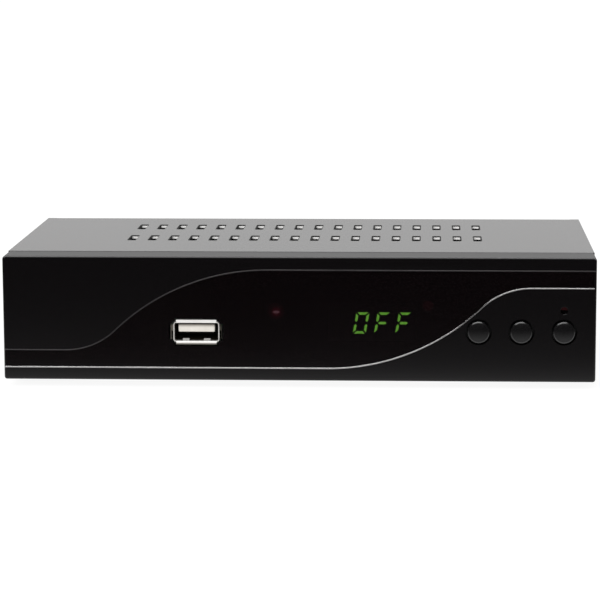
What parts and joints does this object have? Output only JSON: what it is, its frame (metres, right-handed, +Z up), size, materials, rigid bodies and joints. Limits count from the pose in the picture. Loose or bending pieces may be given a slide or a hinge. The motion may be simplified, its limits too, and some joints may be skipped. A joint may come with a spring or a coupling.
{
  "type": "cable tv receiver",
  "caption": "Low black set-top box with an S-shaped smoked display band, round push buttons, a USB socket on the front and a slotted steel cover.",
  "frame": {"origin": "under the middle of the whole box, on the plane that the feet stand on", "axes": "+X to the right seen from the front, +Y to the back, +Z up"},
  "size_m": [0.168, 0.1006, 0.0378],
  "materials": {
    "panel_plastic": "black ABS moulding, fine satin gloss",
    "lens_acrylic": "smoked acrylic, polished",
    "stripe_dim": "grey metallic foil on a moulded bead",
    "stripe_bright": "silver metallic foil on a moulded bead",
    "cover_steel": "black powder coat on folded steel",
    "tray_steel": "zinc-plated folded steel",
    "foot_rubber": "moulded black rubber",
    "screw_zinc": "zinc-plated steel",
    "screw_black": "black oxide on steel",
    "post_steel": "turned plated steel",
    "board_laminate": "green solder mask on glass laminate",
    "chip_epoxy": "moulded black epoxy",
    "sink_aluminium": "extruded aluminium",
    "capacitor_sleeve": "dark shrink sleeve",
    "choke_ferrite": "pressed ferrite",
    "header_plastic": "black moulded strip with tinned pins",
    "can_tin": "tinned steel sheet",
    "socket_nickel": "nickel plate",
    "insulator_white": "white moulded insulator",
    "contact_brass": "gold-flashed brass",
    "socket_black": "black glass-filled moulding",
    "insulator_orange": "orange moulded insulator",
    "display_case": "matt black moulded case",
    "segment_green": "lit green diffuser",
    "segment_dark": "unlit diffuser",
    "remote_epoxy": "infrared-clear dark red epoxy",
    "lamp_epoxy": "red tinted epoxy",
    "switch_plastic": "black moulded case",
    "plunger_plastic": "grey moulded plunger",
    "button_plastic": "black ABS, satin"
  },
  "bodies": {
    "case": {"base_chassis": "tray_steel", "foot_front_left": "foot_rubber", "foot_front_right": "foot_rubber", "foot_rear_left": "foot_rubber", "foot_rear_right": "foot_rubber", "board_standoffs": "post_steel", "main_board": "board_laminate", "board_screws": "screw_zinc", "main_processor": "chip_epoxy", "heat_sink": "sink_aluminium", "memory_chips": "chip_epoxy", "capacitors": "capacitor_sleeve", "power_chokes": "choke_ferrite", "board_header": "header_plastic", "tuner_can": "can_tin", "tuner_lid": "can_tin", "rf_in_socket": "socket_nickel", "rf_in_insulator": "insulator_white", "rf_in_contact": "contact_brass", "rf_out_plug": "socket_nickel", "rf_out_insulator": "insulator_white", "rf_out_pin": "contact_brass", "hdmi_shell": "socket_nickel", "hdmi_tongue": "socket_black", "coax_base": "socket_black", "coax_barrel": "socket_nickel", "coax_insulator": "insulator_orange", "scart_housing": "socket_black", "scart_contacts": "contact_brass", "dc_jack": "socket_black", "dc_pin": "socket_nickel", "usb_shell": "socket_nickel", "usb_tongue": "insulator_white", "usb_contacts": "contact_brass", "front_panel": "panel_plastic", "display_lens": "lens_acrylic", "upper_stripe": "stripe_dim", "lower_stripe": "stripe_bright", "panel_screws": "screw_zinc", "front_board": "board_laminate", "front_board_screws": "screw_zinc", "display_module": "display_case", "lit_segments": "segment_green", "unlit_segments": "segment_dark", "remote_receiver": "remote_epoxy", "standby_lamp": "lamp_epoxy", "signal_lamp": "lamp_epoxy", "switch_left": "switch_plastic", "switch_middle": "switch_plastic", "switch_right": "switch_plastic", "top_cover": "cover_steel", "cover_screws": "screw_black"},
    "left_button": {"button_left": "button_plastic", "plunger_left": "plunger_plastic"},
    "middle_button": {"button_middle": "button_plastic", "plunger_middle": "plunger_plastic"},
    "right_button": {"button_right": "button_plastic", "plunger_right": "plunger_plastic"}
  },
  "joints": [
    {"name": "left_button_press", "type": "slide", "parent": "case", "child": "left_button", "axis": [0, 1, 0], "range_m": [0, 0.0004], "stiffness_N_per_m": 3000},
    {"name": "middle_button_press", "type": "slide", "parent": "case", "child": "middle_button", "axis": [0, 1, 0], "range_m": [0, 0.0004], "stiffness_N_per_m": 3000},
    {"name": "right_button_press", "type": "slide", "parent": "case", "child": "right_button", "axis": [0, 1, 0], "range_m": [0, 0.0004], "stiffness_N_per_m": 3000}
  ]
}
